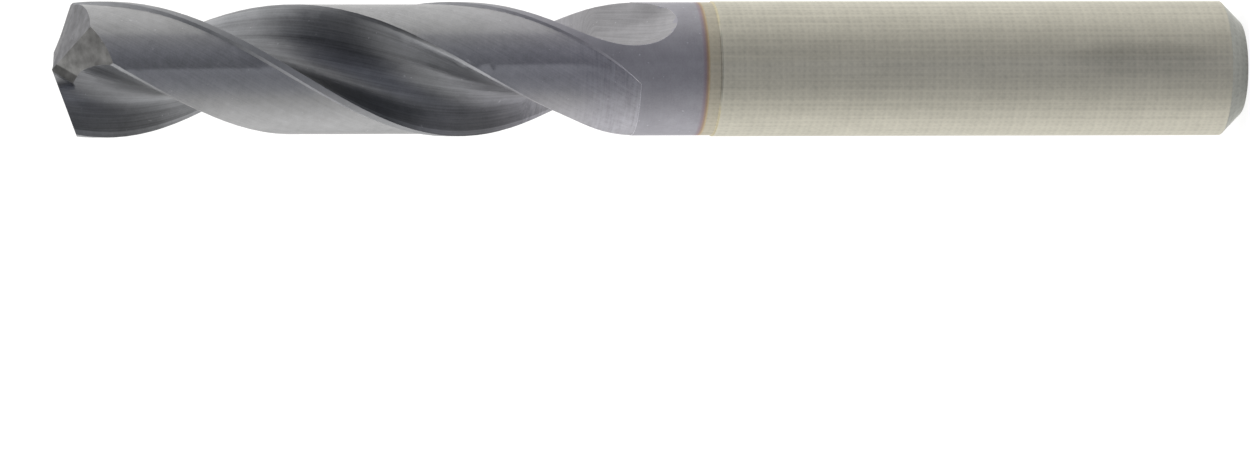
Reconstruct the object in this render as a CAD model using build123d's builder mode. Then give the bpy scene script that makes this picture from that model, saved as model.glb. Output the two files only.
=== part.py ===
from build123d import *

import os
from math import cos, degrees, pi, radians, sin, sqrt, tan

# A two-flute solid carbide twist drill, ground from one round bar. It stands on its
# shank end: the origin is the centre of the flat shank end and +Z runs up the axis to
# the point. The lips run out roughly along X. Lengths are in millimetres, angles in degrees.

# Lengths along the axis: the shank, the plain neck, the flutes with the point, and how
# far the ground-down lands stop short of the flutes
shank_length = 40.0
neck_length = 3.0
flute_length = 46.0
clearance_stop = 3.0

# Diameters, how far the neck lies under the drill's radius, and the bevels at the shank
# end and the shoulder
drill_diameter = 10.0
shank_diameter = 10.0
neck_relief = 0.07
shank_bevel = 1.5
shoulder_bevel = 0.07

# Flutes, as a level section shows them
helix_angle = 31.0
rake_azimuth = 24.9
rake_spread = 45.0
heel_spread = 49.0
web_diameter = 3.44
floor_slope = 12.0
floor_reach = 1.34
heel_strip = 0.32
strip_slope = 2.0
floor_radius = 2.5
heel_radius = 2.0
strip_radius = 0.3

# Where the grinding wheel lifts out of the flute
runout_length = 8.8
runout_lag = 26.0

# Margins left standing at the full diameter beside the flutes
margin_width = 0.45
margin_ramp = 0.32
clearance_depth = 0.22
clearance_span = 100.0
clearance_fade = 5.5
clearance_flare = 9.0
clearance_end_step = 0.02

# Four-facet point
point_angle = 140.0
primary_relief = 8.5
secondary_relief = 19.4

# Gash that thins the web and makes the inner part of each lip
gash_slope = 40.9
gash_azimuth = 72.7
gash_wall_azimuth = 47.0
gash_wall_lean = 9.0
gash_offset = -0.17
gash_radius = 0.12

# Spacing and size of the cutting bodies
section_step = 1.3
cutter_reach = 9.0
cutter_lead_in = 1.0

drill_radius = drill_diameter / 2
neck_radius = drill_radius - neck_relief
shank_radius = shank_diameter / 2
web_radius = web_diameter / 2
twist_rate = 360 * tan(radians(helix_angle)) / (pi * drill_diameter)
flute_end = shank_length + neck_length
clearance_end = flute_end + clearance_stop
overall_length = flute_end + flute_length
tip = (0, 0, overall_length)


def level_plane(height, azimuth, lift=0.0):
    """Level plane whose Y axis points along azimuth, turned with the helix and
    moved out from the drill axis by lift."""
    turned = radians(azimuth - (overall_length - height) * twist_rate)
    outward = Vector(cos(turned), sin(turned), 0)
    return Plane(
        origin=Vector(0, 0, height) + outward * lift,
        x_dir=outward.rotate(Axis.Z, -90),
        z_dir=(0, 0, 1),
    )


def from_middle(distance, angle):
    """Point of the flute section, its angle counted from local Y toward the heel."""
    return Vector(-distance * sin(radians(angle)), distance * cos(radians(angle)))


def section_heights(top, bottom):
    """Evenly spaced heights from top down to bottom."""
    count = round((top - bottom) / section_step)
    return [top + (bottom - top) * i / count for i in range(count + 1)]


# Flute section: a straight radial rake face, a slightly tilted floor and the heel side,
# which bends to a flatter strip at its edge. The floor touches the web circle and runs on
# by floor_reach from there. Local Y runs through the middle of the flute and the lip is on
# the +X side.
rake_out = from_middle(2 * cutter_reach, -rake_spread)
floor_start = from_middle(web_radius / cos(radians(rake_spread - floor_slope)), -rake_spread)
strip_out = from_middle(1, 90 - strip_slope)
heel_edge = from_middle(drill_radius - clearance_depth, heel_spread)
heel_bend = heel_edge - strip_out * heel_strip
floor_end = from_middle(web_radius, -floor_slope) + from_middle(1, 90 - floor_slope) * floor_reach
heel_out = heel_edge + strip_out * cutter_reach
with BuildSketch() as flute_section:
    with BuildLine():
        FilletPolyline(
            rake_out,
            floor_start,
            floor_end,
            heel_bend,
            heel_out,
            radius=(floor_radius, heel_radius, strip_radius),
        )
        Polyline(heel_out, (heel_out.X, rake_out.Y), rake_out)
    make_face()

# The flute cutter follows the helix and lifts out along the wheel's arc at the end
flute_middle = rake_azimuth + rake_spread
full_lift = drill_radius - web_radius
wheel_radius = (runout_length**2 + full_lift**2) / (2 * full_lift)
with BuildPart() as flute_cutter:
    for height in section_heights(overall_length + cutter_lead_in, flute_end):
        passed = max(0.0, flute_end + runout_length - height)
        lift = wheel_radius - sqrt(wheel_radius**2 - passed**2)
        lag = runout_lag * (passed / runout_length) ** 3
        with BuildSketch(level_plane(height, flute_middle + lag, lift)):
            add(flute_section.sketch)
    loft()

# The clearance cutter lowers each land behind its margin and fades out at the end
margin_turn = degrees(margin_width / drill_radius)
ramp_turn = degrees(margin_ramp / drill_radius)
full_rise = clearance_depth - neck_relief - clearance_end_step
ramp_top_radius = drill_radius + clearance_depth / 4
with BuildPart() as clearance_cutter:
    for height in section_heights(overall_length + cutter_lead_in, clearance_end):
        fade = max(0.0, (clearance_end + clearance_fade - height) / clearance_fade) ** 3
        ground_radius = drill_radius - clearance_depth + full_rise * fade
        margin_side = 90 - margin_turn - clearance_flare * fade
        ramp_foot = margin_side - ramp_turn * (drill_radius - ground_radius) / clearance_depth
        heel_end = 90 - clearance_span
        ramp_top = Vector(ramp_top_radius, 0).rotate(Axis.Z, margin_side)
        with BuildSketch(level_plane(height, rake_azimuth)):
            with BuildLine():
                ground = CenterArc((0, 0), ground_radius, heel_end, ramp_foot - heel_end)
                outside = CenterArc((0, 0), cutter_reach, heel_end, margin_side - heel_end)
                Line(ground @ 0, outside @ 0)
                Polyline(ground @ 1, ramp_top, outside @ 1)
            make_face()
    loft()

# The gash cutter is the space above its floor plane and beyond its wall plane
gash_aim = radians(gash_azimuth)
wall_turn = radians(gash_wall_azimuth + 90)
wall_out = Vector(cos(wall_turn), sin(wall_turn), 0)
floor_plane = Plane(
    origin=tip,
    z_dir=(
        sin(radians(gash_slope)) * cos(gash_aim),
        sin(radians(gash_slope)) * sin(gash_aim),
        cos(radians(gash_slope)),
    ),
)
wall_plane = Plane(
    origin=Vector(*tip) + wall_out * gash_offset,
    z_dir=wall_out + Vector(0, 0, tan(radians(gash_wall_lean))),
)
reach_box = 3 * cutter_reach
with BuildPart() as gash_cutter:
    with Locations(floor_plane.location):
        Box(reach_box, reach_box, cutter_reach, align=(Align.CENTER, Align.CENTER, Align.MIN))
    with Locations(wall_plane.location):
        Box(
            reach_box,
            reach_box,
            cutter_reach,
            align=(Align.CENTER, Align.CENTER, Align.MIN),
            mode=Mode.INTERSECT,
        )
    fillet(gash_cutter.edges().sort_by_distance(tip)[0], gash_radius)

# The blank tapers slightly from the point back to the neck
with BuildPart() as drill:
    with BuildSketch(Plane.XZ):
        Polygon(
            (0, 0),
            (shank_radius - shank_bevel, 0),
            (shank_radius, shank_bevel),
            (shank_radius, shank_length - shoulder_bevel),
            (neck_radius, shank_length),
            (neck_radius, clearance_end),
            (drill_radius, overall_length),
            (0, overall_length),
            align=None,
        )
    revolve(axis=Axis.Z)
    for turn in (0, 180):
        add(flute_cutter.part, rotation=(0, 0, turn), mode=Mode.SUBTRACT)
        add(clearance_cutter.part, rotation=(0, 0, turn), mode=Mode.SUBTRACT)
    # Primary and secondary relief of both lips
    slope = tan(radians(90 - point_angle / 2))
    for side in (1, -1):
        for relief in (primary_relief, secondary_relief):
            facet = Plane(origin=tip, z_dir=(side * slope, -side * tan(radians(relief)), 1))
            with Locations(facet.location):
                Box(
                    reach_box,
                    reach_box,
                    cutter_reach,
                    align=(Align.CENTER, Align.CENTER, Align.MIN),
                    mode=Mode.SUBTRACT,
                )
    for turn in (0, 180):
        add(gash_cutter.part, rotation=(0, 0, turn), mode=Mode.SUBTRACT)

drill.part.label = "solid carbide drill"
os.makedirs("parts", exist_ok=True)
export_step(drill.part, "parts/drill.step")
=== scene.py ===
from math import acos, cos, hypot, pi, radians, sin, tan
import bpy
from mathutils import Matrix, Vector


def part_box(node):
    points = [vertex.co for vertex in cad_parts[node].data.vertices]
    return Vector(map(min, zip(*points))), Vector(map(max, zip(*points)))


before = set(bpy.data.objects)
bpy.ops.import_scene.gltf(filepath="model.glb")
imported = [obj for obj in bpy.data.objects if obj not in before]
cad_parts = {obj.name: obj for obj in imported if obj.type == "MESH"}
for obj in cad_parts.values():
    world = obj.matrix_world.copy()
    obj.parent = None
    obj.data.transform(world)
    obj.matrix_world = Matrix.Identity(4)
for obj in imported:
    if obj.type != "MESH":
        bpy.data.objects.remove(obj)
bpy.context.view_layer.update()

from types import SimpleNamespace

import bpy
from mathutils import Matrix, Vector

MM = 0.001

# The drill's own sizes, in millimetres from the shank end, and angles in degrees
overall_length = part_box("drill")[1].z / MM
shank_bevel = 1.5
shank_length = 40.0
shoulder_bevel = 0.07
coating_edge = 40.84
flute_end = 43.0
clearance_end = 46.0
drill_radius = 5.0
neck_radius = 4.93
web_radius = 1.72
flute_azimuth = 69.9
helix_angle = 31.0
runout_length = 8.8
runout_lag = 26.0
runout_face = 52.0
gash_wall_azimuth = 47.0
gash_wall_lean = 9.0
gash_offset = -0.17

# Kinds of ground surface, as numbers that the finish reads from the mesh
RELIEF, GASH_FLOOR, GASH_WALL, BLANK, LAND, RAMP, FLUTE = range(7)

# How the mesh's faces are told apart: the least count of faces and the least size of a flat,
# how far a flat looks along the axis, and for round surfaces how deep under the blank a face
# may lie and how squarely it has to look outward
flat_faces = 5
flat_side = 2.0
relief_rise = 0.85
gash_floor_rise = 0.5
blank_limits = (0.004, 0.9)
land_limits = (0.3, 0.965)
ramp_limits = (0.26, 0.6)

# Stretches along the drill over which a look sets in, as heights from least to most
runout_stretch = (54.0, 48.5)
runout_light_stretch = (50.0, 45.0)
neck_stretch = (50.0, 46.0)
violet_stretch = (62.0, 50.0)
dwell_stretch = (53.0, 48.0)
land_end_stretch = (48.0, 52.0)

# Rings of the flute over which painted light sets in, as radii from least to most: painted shade deep
# in the flute and along the heel's edge, painted light toward the flute's outer part and a painted
# highlight on the lip's strip
core_shade_ring = (2.4, 1.8)
outer_light_ring = (2.6, 3.8)
lip_highlight_ring = (4.53, 4.6)
heel_shade_ring = (4.5, 4.58)

# Bands on the gash's floor, as distances from its wall: a dark one of painted shade from the wall and,
# beside it, a light one of painted highlight
gash_shade_band = (0.75, 0.62)
gash_highlight_start = (0.68, 0.78)
gash_highlight_end = (1.7, 1.0)

# The shoulder's thin line of painted light: how far it lies under the shoulder and how far it reaches
# up and down, and how far in front of or behind the axis it turns from a painted golden highlight to
# painted shade
line_drop = 0.03
line_reach = (0.12, 0.04)
golden_highlight_limits = (4.2, 3.6)
shoulder_shade_limits = (4.0, 4.7)

# Marks on the shank: the pitch of the coarser dots and how far their rows waver, and a dull patch
dot_pitch = 0.887
dot_waver = 5.0
patch_height = 8.2
patch_across = 0.4
patch_half_length = 6.5
patch_half_width = 1.5
patch_rim = (1.2, 0.0)

# How densely noise is packed along the marks and, for the drawn ones, across them
helix_packing = 0.02
wheel_packing = 0.03
ring_packing = 0.05
drawn_packing = 0.05
drawn_packing_across = 3.0
speck_limits = (0.83, 0.86)

# Rounding of the edges, the turn of the surface there at which they are lightened, partly as wear and
# partly as a painted highlight, as cosines, and the depth of the grinding marks
edge_rounding = 0.045
wear_highlight_turn = (0.99, 0.88)
mark_depth = 0.008

# The thin smooth film on the lands and the blank, which mirrors the studio
film_roughness = 0.07
film_index = 4.0
film_on_lands = (0.12, 0.32)
film_on_blank = 0.07
film_on_shank = 0.03

# Colours of the coating and of bare carbide. Where there are two, clouds blend them.
cool_coating = ((0.287, 0.3, 0.32), (0.312, 0.32, 0.341))
violet_coating = ((0.32, 0.32, 0.366), (0.338, 0.337, 0.382))
relief_coating = (0.194, 0.197, 0.211)
gash_coating = (0.204, 0.206, 0.206)
runout_coating = (0.32, 0.32, 0.338)
bare_carbide = ((0.522, 0.509, 0.429), (0.573, 0.558, 0.472))
bevel_carbide = (0.62, 0.64, 0.6)
heated_carbide = (0.47, 0.44, 0.35)
# A golden line at the shoulder, a painted highlight toward the drill's sides
shoulder_golden_highlight = (0.66, 0.58, 0.34)

# How far above the coating's edge the bare metal and the temper colours set in
bare_stretch = (0.1, -0.05)
temper_colours = (
    ((0.6, 0.35), (0.29, 0.235, 0.27)),
    ((0.35, 0.2), (0.36, 0.25, 0.19)),
    ((0.2, 0.05), (0.5, 0.4, 0.24)),
)

# The studio's floor, with its size in metres
floor_half_side = 4.0
floor_grey = 0.85
floor_glow = 1.2
floor_glow_share = 0.7

# The studio's walls: their levels behind and in front of the drill, and the grey panel's shade,
# the slant of its lower edge and its limits, as parts of a direction's length of one
back_wall_level = 1.55
front_wall_level = 0.68
panel_shade = 0.59
panel_slant = 4.2
panel_slant_start = 0.167
panel_lower_edge = (0.125, 0.16)
panel_upper_edge = (0.95, 0.85)
panel_front_edge = (0.2, 0.5)
point_end_limits = (-0.05, 0.05)

# The photograph's frame, in pixels, and how its camera stands to the drill
photo_width = 1250
pixels_per_mm = 13.534
camera_distance = 850.0
camera_turn = -92.9
camera_rise = 9.8
camera_roll = -0.21
aim_height = 46.433
aim_drop = 11.535
sensor_width = 36.0
clip_start = 0.01
clip_end = 20.0


class Value:
    """A node's output socket, so that shader maths reads as an expression."""

    def __init__(self, tree, socket):
        self.tree = tree
        self.socket = socket

    def node(self, kind, inputs=(), out=0, **settings):
        """Adds one node with these settings, feeds its sockets and returns one output."""
        made = self.tree.nodes.new(kind)
        for name, setting in settings.items():
            setattr(made, name, setting)
        for key, given in dict(inputs).items():
            if isinstance(given, Value):
                self.tree.links.new(given.socket, made.inputs[key])
            else:
                made.inputs[key].default_value = given
        return Value(self.tree, made.outputs[out])

    def math(self, operation, *others):
        return self.node("ShaderNodeMath", enumerate((self, *others)), operation=operation)

    def __add__(self, other):
        return self.math("ADD", other)

    def __radd__(self, other):
        return self.math("ADD", other)

    def __sub__(self, other):
        return self.math("SUBTRACT", other)

    def __rsub__(self, other):
        return self.node("ShaderNodeMath", {0: other, 1: self}, operation="SUBTRACT")

    def __mul__(self, other):
        return self.math("MULTIPLY", other)

    def __rmul__(self, other):
        return self.math("MULTIPLY", other)

    def __truediv__(self, other):
        return self.math("DIVIDE", other)

    def __pow__(self, other):
        return self.math("POWER", other)

    def smooth(self, start, end, low=0.0, high=1.0):
        """From low at start to high at end with soft ends, held outside them."""
        sockets = {"Value": self, "From Min": start, "From Max": end, "To Min": low, "To Max": high}
        return self.node("ShaderNodeMapRange", sockets, interpolation_type="SMOOTHSTEP")

    def dot(self, other):
        """Dot product of two vectors."""
        return self.node("ShaderNodeVectorMath", {0: self, 1: other}, "Value", operation="DOT_PRODUCT")

    def scaled(self, factor):
        """This vector or colour times a number."""
        return self.node("ShaderNodeVectorMath", {0: self, "Scale": factor}, operation="SCALE")


def rgba(colour):
    """A colour with full alpha, unless it is a socket already."""
    return colour if isinstance(colour, Value) else (*colour, 1.0)


def mix(factor, first, second):
    """Colour between first and second."""
    sockets = {0: factor, 6: rgba(first), 7: rgba(second)}
    return factor.node("ShaderNodeMix", sockets, 2, data_type="RGBA")


def vector(x, y, z):
    """Vector of three values, of which the first or the last is a socket."""
    socket = x if isinstance(x, Value) else z
    return socket.node("ShaderNodeCombineXYZ", {"X": x, "Y": y, "Z": z})


def noise(place, scale, detail=3.0, roughness=0.5):
    """Smooth noise between 0 and 1 about 0.5."""
    sockets = {"Vector": place, "Scale": scale, "Detail": detail, "Roughness": roughness}
    return place.node("ShaderNodeTexNoise", sockets)


def new_material(name):
    """A node material, its Principled shader, and a Value to start expressions from."""
    material = bpy.data.materials.new(name)
    material.use_nodes = True
    shader = material.node_tree.nodes["Principled BSDF"]
    return material, shader, Value(material.node_tree, shader.outputs[0])


def feed(shader, name, given):
    """Links a Value to one of the shader's sockets."""
    given.tree.links.new(given.socket, shader.inputs[name])


def blank_radius(height):
    """Radius of the blank, which tapers from the point back to the neck."""
    if height < shank_length - shoulder_bevel / 2:
        return drill_radius
    share = max(0.0, (height - clearance_end) / (overall_length - clearance_end))
    return neck_radius + (drill_radius - neck_radius) * share


def find_flats(mesh):
    """The plane of each face that is part of a large flat."""
    planes = {}
    for face in mesh.polygons:
        normal = face.normal
        key = (*(round(axis, 3) for axis in normal), round(normal.dot(face.center) / MM, 2))
        planes.setdefault(key, []).append(face.index)
    flats = {}
    for key, members in planes.items():
        area = sum(mesh.polygons[i].area for i in members)
        if len(members) >= flat_faces and area > (flat_side * MM) ** 2:
            flats.update(dict.fromkeys(members, key))
    return flats


def flat_kind(face):
    """Kind of a flat face, by how far it looks along the axis."""
    rise = abs(face.normal.z)
    if rise > relief_rise:
        return RELIEF
    return GASH_FLOOR if rise > gash_floor_rise else GASH_WALL


def lies_within(limits, depth, outward):
    """Whether a face is shallow enough and looks outward squarely enough for these limits."""
    deepest, least_outward = limits
    return depth < deepest and outward > least_outward


def sort_surfaces(mesh):
    """Says for each face which ground surface it belongs to, as a kind and a name or plane."""
    flats = find_flats(mesh)
    surfaces = []
    for face in mesh.polygons:
        corners = [mesh.vertices[i].co / MM for i in face.vertices]
        middle = face.center / MM
        outward = Vector((middle.x, middle.y, 0)).normalized().dot(face.normal)
        depth = max(blank_radius(corner.z) - hypot(corner.x, corner.y) for corner in corners)
        if face.index in flats:
            surfaces.append((flat_kind(face), flats[face.index]))
        elif middle.z < shank_bevel or abs(middle.z - shank_length) < shoulder_bevel:
            surfaces.append((BLANK, "bevel"))
        elif lies_within(blank_limits, depth, outward):
            surfaces.append((BLANK, "shank" if middle.z < shank_length else "neck"))
        elif lies_within(land_limits, depth, outward):
            surfaces.append((LAND, None))
        elif lies_within(ramp_limits, depth, outward):
            surfaces.append((RAMP, None))
        else:
            surfaces.append((FLUTE, None))
    return surfaces


def corner_angles(corners):
    """Angle of a face at each of its corners."""
    count = len(corners)
    angles = []
    for i, corner in enumerate(corners):
        ahead = (corners[(i + 1) % count] - corner).normalized()
        behind = (corners[i - 1] - corner).normalized()
        angles.append(acos(max(-1.0, min(1.0, ahead.dot(behind)))))
    return angles


def shade_surfaces(drill):
    """Shades each ground surface evenly, with crisp edges between two of them."""
    mesh = drill.data
    surfaces = sort_surfaces(mesh)
    sums = {}
    for face, surface in zip(mesh.polygons, surfaces):
        corners = [mesh.vertices[i].co / MM for i in face.vertices]
        for corner, angle in zip(corners, corner_angles(corners)):
            key = (surface, *(round(axis, 3) for axis in corner))
            sums[key] = sums.get(key, Vector()) + face.normal * angle
    normals = []
    for face, surface in zip(mesh.polygons, surfaces):
        for i in face.vertices:
            corner = mesh.vertices[i].co / MM
            if surface in ((BLANK, "shank"), (BLANK, "neck")):
                normals.append(Vector((corner.x, corner.y, 0)).normalized())
            else:
                key = (surface, *(round(axis, 3) for axis in corner))
                normals.append(sums[key].normalized())
    mesh.normals_split_custom_set(normals)
    kinds = mesh.attributes.new("surface_kind", "FLOAT", "FACE")
    kinds.data.foreach_set("value", [kind for kind, which in surfaces])


def read_surface(start):
    """Where a spot lies on the drill, in millimetres, and on which of its surfaces."""
    spot = SimpleNamespace()
    spot.place = start.node("ShaderNodeTexCoord", out="Object").scaled(1 / MM)
    spot.across, spot.side, spot.height = (
        start.node("ShaderNodeSeparateXYZ", {0: spot.place}, axis) for axis in "XYZ")
    spot.radius = (spot.across * spot.across + spot.side * spot.side) ** 0.5
    spot.angle = spot.side.math("ARCTAN2", spot.across)

    kind = start.node("ShaderNodeAttribute", out="Fac", attribute_name="surface_kind")
    relief, gash_floor, gash_wall, spot.blank, spot.land, spot.ramp, spot.flute = (
        kind.math("COMPARE", float(wanted), 0.5) for wanted in range(7))
    point = spot.height.math("GREATER_THAN", clearance_end)
    spot.relief = relief * point
    spot.gash_floor = gash_floor * point
    spot.gash_wall = gash_wall * point
    spot.facet = spot.relief + spot.gash_floor + spot.gash_wall
    spot.helical = spot.flute + spot.land
    spot.runout = spot.flute * spot.height.smooth(*runout_stretch)
    spot.open_flute = spot.flute * (1 - spot.runout)
    spot.neck = spot.height.smooth(*neck_stretch)
    spot.above_edge = spot.height - coating_edge
    spot.bare = spot.above_edge.smooth(*bare_stretch)
    spot.coated = 1 - spot.bare
    return spot


def add_flute_section(spot):
    """Place in the flute's section, which is the same all along a grinding mark: it turns with
    the helix, and in the run-out it lags and lifts with the wheel."""
    passed = (flute_end + runout_length - spot.height).math("MAXIMUM", 0.0) * spot.flute
    full_lift = drill_radius - web_radius
    wheel_radius = (runout_length**2 + full_lift**2) / (2 * full_lift)
    lift = wheel_radius - (wheel_radius**2 - passed * passed) ** 0.5
    lag = (passed / runout_length) ** 3.0 * radians(runout_lag)
    turned = (spot.angle - radians(flute_azimuth) - lag
              + (overall_length - spot.height) * (tan(radians(helix_angle)) / drill_radius))
    spot.section_x = spot.radius * turned.math("SINE")
    section_y = spot.radius * turned.math("COSINE")
    spot.section_y = section_y - section_y.math("SIGN") * lift


def dot_lattice(spot, pitch, waver):
    """Rows of soft dots, at this pitch both along the shank and round it."""
    along = (spot.height * (2 * pi / pitch) + waver).math("SINE") * 0.5 + 0.5
    around = (spot.angle * (drill_radius * 2 * pi / pitch) + waver).math("SINE") * 0.5 + 0.5
    return along * around


def grinding_marks(spot):
    """Marks of grinding and handling, each as noise about 0.5 or as a mask."""
    # In the flutes and on the lands they run along the helix, in the run-out along the wheel's
    # path, and elsewhere round the axis
    along_helix = vector(spot.section_x, spot.section_y, spot.height * helix_packing)
    level_across = spot.across * cos(radians(runout_face)) + spot.side * sin(radians(runout_face))
    flute_side = spot.section_y.math("SIGN") * -1
    across_path = level_across * flute_side - spot.height * tan(radians(helix_angle))
    along_wheel = vector(across_path, 0.0, spot.height * wheel_packing)
    along_mark = mix(spot.runout, along_helix, along_wheel)
    round_axis = vector(spot.across * ring_packing, spot.side * ring_packing, spot.height)
    along_axis = vector(spot.across * drawn_packing_across, spot.side * drawn_packing_across,
                        spot.height * drawn_packing)

    # Each noise has its scale, and most have their detail and roughness
    marks = SimpleNamespace()
    marks.fine_lines = noise(along_mark, 6.0, 5.0, 0.7)
    marks.broad_lines = noise(along_mark, 1.1, 2.0)
    marks.rings = noise(round_axis, 5.0, 5.0, 0.75)
    marks.drawn_lines = noise(along_axis, 1.3, 4.0, 0.7)
    marks.clouds = noise(spot.place, 0.5)
    marks.stains = noise(spot.place, 0.9, 2.0)
    marks.blotches = noise(spot.place, 1.7, 2.0)
    marks.grain = noise(spot.place, 7.0, 3.0, 0.75)
    marks.specks = noise(spot.place, 4.0, 0.0).smooth(*speck_limits)

    waver = (marks.blotches - 0.5) * dot_waver
    marks.dots = dot_lattice(spot, dot_pitch, waver)
    marks.fine_dots = dot_lattice(spot, dot_pitch / 2, waver)
    from_middle = (((spot.height - patch_height) / patch_half_length) ** 2.0
                   + ((spot.across - patch_across) / patch_half_width) ** 2.0)
    marks.patch = from_middle.smooth(*patch_rim) * spot.side.math("LESS_THAN", 0.0)
    marks.lines = marks.rings * 0.3 + (marks.fine_lines - marks.rings * 0.3) * spot.helical
    return marks


def shoulder_painted_line(spot):
    """Where the shoulder's thin line of painted light lies, between the neck and the shank: painted
    shade in front of and behind the axis, a painted golden highlight toward the sides.
    """
    return (spot.height - shank_length + line_drop).math("ABSOLUTE").smooth(*line_reach)


def carbide_colour(spot, marks):
    """The coating greys toward the point and ends in temper colours, and the shank is bare."""
    toward_neck = spot.height.smooth(*violet_stretch)
    coating = mix(toward_neck, mix(marks.clouds, *cool_coating), mix(marks.clouds, *violet_coating))
    coating = mix(spot.relief, coating, relief_coating)
    coating = mix(spot.gash_floor + spot.gash_wall, coating, gash_coating)
    coating = mix(spot.runout, coating, runout_coating)
    for stretch, tint in temper_colours:
        coating = mix(spot.above_edge.smooth(*stretch), coating, tint)

    bare = mix(marks.clouds, *bare_carbide)
    bare = mix(spot.height.math("LESS_THAN", shank_bevel), bare, bevel_carbide)
    bare = mix(spot.height.math("GREATER_THAN", shank_length), bare, heated_carbide)
    # The shoulder's line turns golden toward the sides, a painted highlight
    golden_highlight = shoulder_painted_line(spot) * spot.side.math("ABSOLUTE").smooth(*golden_highlight_limits) * 0.6
    bare = mix(golden_highlight, bare, shoulder_golden_highlight)
    return mix(spot.bare, coating, bare)


def mark_tone(spot, marks):
    """How much the marks lighten or darken the colour: each mark is taken about its own middle
    and times how strongly it shows."""
    helix_lines = spot.helical * (marks.fine_lines - 0.5) * (0.8 + spot.flute * 0.3)
    ring_lines = (1 - spot.helical) * (marks.rings - 0.5) * 0.12
    clouds = (marks.clouds - 0.5) * (0.3 - spot.bare * 0.2)
    grain = (marks.grain - 0.5) * (0.36 + spot.land * 0.2 - spot.bare * 0.14)
    bands = spot.flute * (marks.broad_lines - 0.5) * (0.8 - spot.runout * 0.6)
    facet_blotches = spot.facet * (marks.blotches - 0.5) * 0.7
    gash_stains = spot.gash_floor * (marks.stains - 0.5) * 1.2
    wheel_dwell = spot.land * spot.height.smooth(*dwell_stretch) * (marks.rings - 0.44) * 1.1
    dots = (marks.dots - 0.25) * 0.08 + (marks.fine_dots - 0.25) * 0.11
    shank_marks = spot.bare * ((marks.drawn_lines - 0.5) * 0.4 - dots - marks.patch * 0.2 - 0.02)
    smears = (marks.blotches - 0.5) * spot.coated * (0.2 + spot.land * 0.25)
    dust = spot.coated * marks.specks * 0.5
    return (1 + helix_lines + ring_lines + clouds + grain + bands + facet_blotches + gash_stains
            + wheel_dwell + shank_marks + smears + dust)


def surface_tone(spot, wear_and_highlight):
    """How much lighter or darker each surface is than the colour it is given; most of it is painted
    shade and painted highlight.
    """
    wall_turn = radians(gash_wall_azimuth + 90)
    outward = (spot.across * cos(wall_turn) + spot.side * sin(wall_turn)) * spot.side.math("SIGN")
    under_tip = spot.height - overall_length
    from_wall = outward + under_tip * tan(radians(gash_wall_lean)) - gash_offset
    # A dark band of painted shade on the gash's floor beside its wall, and a light band of painted
    # highlight beside that
    gash_painted_shade = spot.gash_floor * from_wall.smooth(*gash_shade_band)
    gash_painted_highlight = (spot.gash_floor * from_wall.smooth(*gash_highlight_start)
                   * from_wall.smooth(*gash_highlight_end))

    # The product of the section's coordinates is under zero on the lip's side, over it on the heel's
    heel_side = spot.section_x * spot.section_y
    # A lighter strip along the lip, a painted highlight in place of a narrow chamfer
    lip_painted_highlight = spot.open_flute * spot.radius.smooth(*lip_highlight_ring) * heel_side.math("LESS_THAN", 0.0)
    # Painted shade along the heel's edge
    heel_painted_shade = (spot.open_flute * spot.radius.smooth(*heel_shade_ring)
                 * heel_side.math("GREATER_THAN", 0.0))
    # The shoulder's line is dark in front of and behind the axis, painted shade
    shoulder_painted_shade = shoulder_painted_line(spot) * spot.side.math("ABSOLUTE").smooth(*shoulder_shade_limits)

    # Each change says where it is and how much lighter it is there, as a share
    changes = (
        (spot.open_flute, -0.38),
        # Painted light toward the flute's outer part
        (spot.open_flute * spot.radius.smooth(*outer_light_ring), 0.2),
        # Painted shade deep in the flute, near its core
        (spot.flute * spot.radius.smooth(*core_shade_ring), -0.2),
        (spot.runout * spot.height.smooth(*runout_light_stretch), 0.2),
        # Painted highlight along the lip
        (lip_painted_highlight, 0.75),
        # Painted shade along the heel's edge
        (heel_painted_shade, -0.22),
        (spot.land * spot.height.smooth(*land_end_stretch, 0.08, 0.22), -1),
        # The ramps lighter, a painted highlight
        (spot.ramp, 0.12),
        # The gash's wall darker, painted shade
        (spot.gash_wall, -0.15),
        # Painted shade and painted highlight on the gash's floor
        (gash_painted_shade, -0.38),
        (gash_painted_highlight, 0.55),
        # Painted shade on the shoulder's line
        (shoulder_painted_shade, -0.45),
        # Edges lighter, partly wear and partly a painted highlight
        (wear_and_highlight * (0.35 + spot.neck), 1),
    )
    tone = 1
    for mask, change in changes:
        tone = tone * (1 + mask * change)
    return tone


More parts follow.
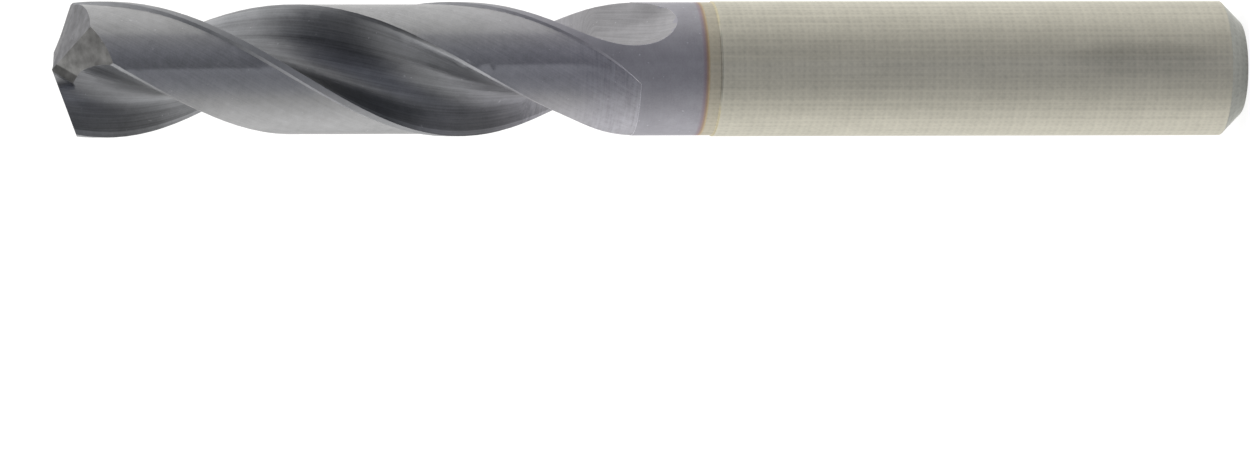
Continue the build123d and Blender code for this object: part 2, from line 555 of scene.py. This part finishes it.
def drill_finish():
    """Dark violet-grey coating on the fluted end, bare ground carbide on the shank."""
    material, shader, start = new_material("coated_ground_carbide")
    shader.distribution = "GGX"
    shader.inputs["Coat Roughness"].default_value = film_roughness
    shader.inputs["Coat IOR"].default_value = film_index
    spot = read_surface(start)
    add_flute_section(spot)
    marks = grinding_marks(spot)

    # Edges are slightly rounded, and lightened where they are coated, partly as wear and partly as a
    # painted highlight
    rounded = start.node("ShaderNodeBevel", {"Radius": edge_rounding * MM}, samples=4)
    true_normal = start.node("ShaderNodeNewGeometry", out="Normal")
    wear_and_highlight = rounded.dot(true_normal).smooth(*wear_highlight_turn) * spot.coated

    tone = mark_tone(spot, marks) * surface_tone(spot, wear_and_highlight)
    feed(shader, "Base Color", carbide_colour(spot, marks).scaled(tone))
    coated_neck = (1 - spot.flute) * spot.neck * spot.coated
    feed(shader, "Metallic", 1 - spot.bare * 0.3 - coated_neck * 0.15)
    uneven = (marks.grain - 0.5) * 0.1 + (marks.lines - 0.5) * 0.15
    feed(shader, "Roughness", 0.7 - spot.helical * 0.1 - spot.open_flute * 0.25 + uneven)
    land_film = spot.land * spot.height.smooth(*land_end_stretch, *film_on_lands)
    feed(shader, "Coat Weight", land_film + spot.blank * (film_on_blank + spot.bare * film_on_shank))

    # The marks lie in the surface
    depth = marks.lines * 0.7 + marks.grain * 0.3
    sockets = {"Strength": 1.0, "Distance": mark_depth * MM, "Height": depth, "Normal": rounded}
    feed(shader, "Normal", depth.node("ShaderNodeBump", sockets, "Normal"))
    return material


def dress_drill():
    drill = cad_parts["drill"]
    shade_surfaces(drill)
    drill.material_slots[0].material = drill_finish()


def floor_finish():
    """Pale floor that reads as white where nothing shades it."""
    material, shader, start = new_material("pale_floor")
    shader.inputs["Base Color"].default_value = (floor_grey, floor_grey, floor_grey, 1.0)
    shader.inputs["Roughness"].default_value = 0.9
    shader.inputs["Specular IOR Level"].default_value = 0.0
    seen = start.node("ShaderNodeLightPath", out="Is Camera Ray")
    glow = start.node("ShaderNodeEmission", {"Strength": floor_glow})
    both = start.node("ShaderNodeMixShader", {0: seen * floor_glow_share, 1: start, 2: glow})
    feed(material.node_tree.nodes["Material Output"], "Surface", both)
    return material


def make_floor():
    mesh = bpy.data.meshes.new("floor")
    corners = [(-1, -1, 0), (1, -1, 0), (1, 1, 0), (-1, 1, 0)]
    mesh.from_pydata([Vector(corner) * floor_half_side for corner in corners], [], [(0, 1, 2, 3)])
    mesh.materials.append(floor_finish())
    floor = bpy.data.objects.new("floor", mesh)
    bpy.context.scene.collection.objects.link(floor)
    floor.visible_glossy = False


def viewer_side():
    """Level direction from the drill to the camera."""
    return Vector((cos(radians(camera_turn)), sin(radians(camera_turn)), 0))


def wall_level(front, up, axial, panel):
    """Brightness of the studio's walls as the drill reflects them. Front is toward the camera,
    up is up in the picture, and axial is the way the drill's point looks."""
    point_end = axial.smooth(*point_end_limits)
    dark_wall = point_end * front.smooth(0.3, 0.95) * 0.8
    dim_wall = point_end * up.smooth(0.6, -0.2) * 0.25
    dim_band = up.smooth(0.02, -0.25) * up.smooth(-0.85, -0.5) * 0.25
    window = point_end * up.smooth(-0.6, -0.9) * front.smooth(0.3, -0.1) * 0.9
    ceiling = axial.smooth(0.2, 1.0, 1.0, 1.2)
    ground = axial.smooth(-0.2, -1.0, 1.0, 0.25)

    level = front.smooth(-0.45, 1.0, back_wall_level, front_wall_level)
    level = level + up.smooth(0.0, -0.9) * 0.19
    level = level - panel * panel_shade * up.smooth(0.6, 0.0, 0.62, 1.0)
    level = level * (1 - dark_wall) * (1 - dim_wall) * (1 - dim_band)
    return (level + window) * ceiling * ground


def make_world():
    """A studio that is bright beside and behind the drill and darker in front, with a grey panel
    in front whose lower edge slants. The camera itself sees white."""
    world = bpy.data.worlds.new("studio")
    bpy.context.scene.world = world
    world.use_nodes = True
    background = world.node_tree.nodes["Background"]
    start = Value(world.node_tree, background.outputs[0])
    way = start.node("ShaderNodeTexCoord", out="Generated")
    front = way.dot(viewer_side())
    up = way.dot(Vector((0, 0, 1)).cross(viewer_side()))
    axial = way.node("ShaderNodeSeparateXYZ", {0: way}, "Z")

    above_slant = up + (axial + panel_slant_start) * panel_slant
    panel = (above_slant.smooth(*panel_lower_edge) * up.smooth(*panel_upper_edge)
             * front.smooth(*panel_front_edge) * (1 - axial.smooth(*point_end_limits)))
    level = wall_level(front, up, axial, panel)
    red = level * front.smooth(0.5, 1.0, 1.02, 0.98)
    blue = level * front.smooth(0.5, 1.0, 0.97, 1.12) * (1 + panel * 0.08)
    seen = start.node("ShaderNodeLightPath", out="Is Camera Ray")
    feed(background, "Color", mix(seen, vector(red, level, blue), (1.0, 1.0, 1.0)))


def make_camera():
    """The camera looks at the standing drill from its side and is rolled, so that the point is
    at the left."""
    rise, roll = radians(camera_rise), radians(camera_roll)
    toward = viewer_side()
    axis = Vector((0, 0, 1))
    picture_up = axis.cross(toward)
    back = toward * cos(rise) + axis * sin(rise)
    level_right = toward * sin(rise) - axis * cos(rise)
    right = level_right * cos(roll) + picture_up * sin(roll)
    up = picture_up * cos(roll) - level_right * sin(roll)
    place = (axis * aim_height - picture_up * aim_drop + back * camera_distance) * MM
    camera = bpy.data.cameras.new("camera")
    camera.sensor_width = sensor_width
    camera.lens = pixels_per_mm * camera_distance / photo_width * sensor_width
    camera.clip_start = clip_start
    camera.clip_end = clip_end
    holder = bpy.data.objects.new("camera", camera)
    holder.matrix_world = Matrix.Translation(place) @ Matrix((right, up, back)).transposed().to_4x4()
    bpy.context.scene.collection.objects.link(holder)
    bpy.context.scene.camera = holder


bpy.context.scene.view_settings.view_transform = "Standard"
dress_drill()
make_floor()
make_world()
make_camera()
